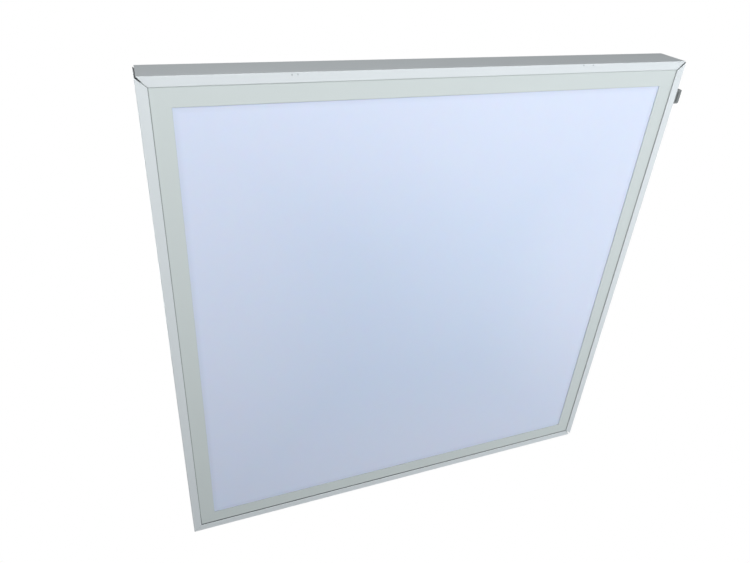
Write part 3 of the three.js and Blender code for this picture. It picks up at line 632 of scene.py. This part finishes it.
def ringed_relief(start, tip, root, pitch=1.5, rings=4):
    """Profile of a tapered strain relief cut into rings, from its tip at start towards its root."""
    profile = [(start, tip - 0.3, 0.0), (start + 0.3, tip, 0.0)]
    for i in range(rings):
        low = start + 0.9 + i * pitch
        radius = tip + (root - tip) * (i + 1) / rings
        groove = radius - 0.55
        profile += [
            (low, radius - 0.05, 0.0),
            (low + 0.15, groove, 0.0),
            (low + 0.55, groove, 0.0),
            (low + 0.7, radius, 0.0),
        ]
    return profile


def rounded_body(low, high, radius, flute):
    """Profile of a fluted grip with a plain rounded collar at both ends."""
    collar = 2.4
    return [
        (low, radius - 1.3, 0.0),
        (low + 0.3, radius - 0.5, 0.0),
        (low + 0.9, radius, 0.0),
        (low + collar, radius, 0.0),
        (low + collar + 0.7, radius - 0.1, flute),
        (high - collar - 0.7, radius - 0.1, flute),
        (high - collar, radius, 0.0),
        (high - 0.5, radius, 0.0),
        (high, radius - 0.4, 0.0),
    ]


def mirrored(profile, length):
    return [(length - along, radius, flute) for along, radius, flute in reversed(profile)]


def make_socket(material):
    """In-line socket on the driver's lead: a ringed relief, a fluted grip and a bore for the plug."""
    low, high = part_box("dc_socket")
    length = (high.x - low.x) / MM
    middle = (low + high) / 2
    bore, bore_deep = 3.0, 12.0
    profile = ringed_relief(0.0, 2.5, 3.1)
    profile += rounded_body(7.0, length, 5.0, 0.5)
    profile += [(length, bore, 0.0), (length - bore_deep, bore, 0.0)]
    origin = Vector((low.x, middle.y, middle.z))
    socket = turned_moulding("socket_moulding", origin, profile, material)
    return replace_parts(socket, "dc_socket")


def make_plug(material):
    """Plug on the panel's lead: a barrel inside the socket, a fluted grip and a ringed relief."""
    low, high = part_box("dc_plug")
    length = (high.x - low.x) / MM
    middle = (low + high) / 2
    shoulder = (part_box("dc_socket")[1].x - low.x) / MM + 0.3
    barrel = 2.7
    grip_end = length - 7.0
    profile = [(0.0, barrel - 0.4, 0.0), (0.4, barrel, 0.0), (shoulder, barrel, 0.0)]
    profile += mirrored(rounded_body(0.0, grip_end - shoulder, 4.6, 0.5), grip_end)
    profile += mirrored(ringed_relief(0.0, 2.5, 3.1), length)
    origin = Vector((low.x, middle.y, middle.z))
    plug = turned_moulding("plug_moulding", origin, profile, material)
    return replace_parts(plug, "dc_plug")


def driver_route():
    """Straight out of the driver's end wall, then slightly down to the height of the connector."""
    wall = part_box("driver_case")[1].x
    exit_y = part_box("driver_lead")[1].y - LEAD_DIAMETER / 2
    low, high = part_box("dc_socket")
    axis = (low + high) / 2
    points = [
        (wall - 5.8 * MM, exit_y),
        (wall + 2.0 * MM, exit_y),
        (wall + 9.0 * MM, exit_y - 0.8 * MM),
        ((wall + low.x) / 2, (exit_y + axis.y) / 2 - 0.35 * MM),
        (low.x - 9.3 * MM, axis.y + 0.5 * MM),
        (low.x + 0.5 * MM, axis.y),
    ]
    return [Vector((x, y, axis.z)) for x, y in points], Vector((wall, exit_y, axis.z))


def panel_route():
    """From the grommet's hole out and over in one bend, then down the back plate to the plug."""
    low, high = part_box("lead_grommet")
    hole = (low + high) / 2
    plug_low, plug_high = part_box("dc_plug")
    axis = (plug_low + plug_high) / 2
    end = plug_high.x
    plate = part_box("back_plate")[1].y

    def out(rise):
        return plate + rise * MM

    def below(drop):
        return hole.z - drop * MM

    points = [
        (hole.x, low.y, hole.z),
        (hole.x, out(1.0), hole.z),
        (hole.x, out(5.5), below(1.9)),
        (hole.x, out(7.4), below(6.4)),
        (hole.x, out(6.1), below(14.5)),
        (hole.x, out(3.4), below(24.0)),
        (hole.x, out(2.4), below(36.0)),
        (hole.x - 1.0 * MM, out(2.4), axis.z + 28.0 * MM),
        (hole.x - 7.0 * MM, out(2.5), axis.z + 14.0 * MM),
        (hole.x - 18.0 * MM, out(3.3), axis.z + 4.0 * MM),
        (end + 9.0 * MM, axis.y - 0.6 * MM, axis.z + 0.6 * MM),
        (end - 0.5 * MM, axis.y, axis.z),
    ]
    return [Vector(point) for point in points], Vector((hole.x, high.y, hole.z))


def make_leads(material):
    socket = make_socket(material)
    plug = make_plug(material)
    ends = {
        "driver_lead": (driver_route(), socket),
        "panel_lead": (panel_route(), plug),
    }
    for node, ((points, way_out), moulding) in ends.items():
        line = smooth_route(points)
        jacket = tube(f"{node}_jacket", line, material)
        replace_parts(jacket, node)


make_camera()
make_studio()
make_floor()
looks = make_materials()
dress_cad_nodes(looks)
make_leads(looks["black_plastic"])
